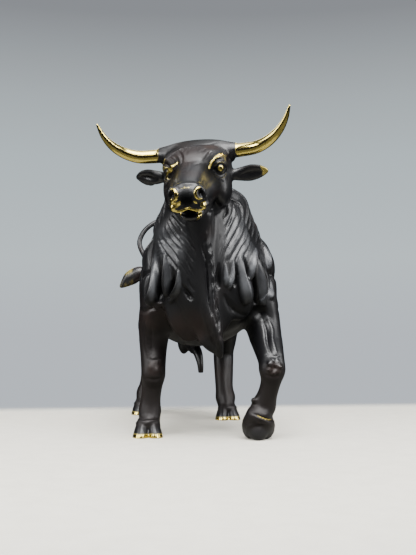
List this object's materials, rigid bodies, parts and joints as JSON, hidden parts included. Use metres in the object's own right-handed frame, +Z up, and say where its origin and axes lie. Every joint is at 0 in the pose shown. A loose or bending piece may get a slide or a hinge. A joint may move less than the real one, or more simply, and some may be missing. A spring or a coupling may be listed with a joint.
{
  "type": "bull sculpture",
  "caption": "Hollow cast bronze fighting bull at a walk, head turned, one fore hoof on its toe, tail raised in a loop, for a shelf or table.",
  "frame": {"origin": "middle of the bounding box, at the height of the soles", "axes": "+Z up, the bull faces -Y, its left side is +X"},
  "size_m": [0.16, 0.3566, 0.2664],
  "materials": {
    "bronze": "near-black satin patina over bronze, polished to golden metal on the horns, brows, muzzle, ear tips, hoof edges and tail brush"
  },
  "bodies": {
    "root": {"bull": "bronze"}
  },
  "joints": []
}
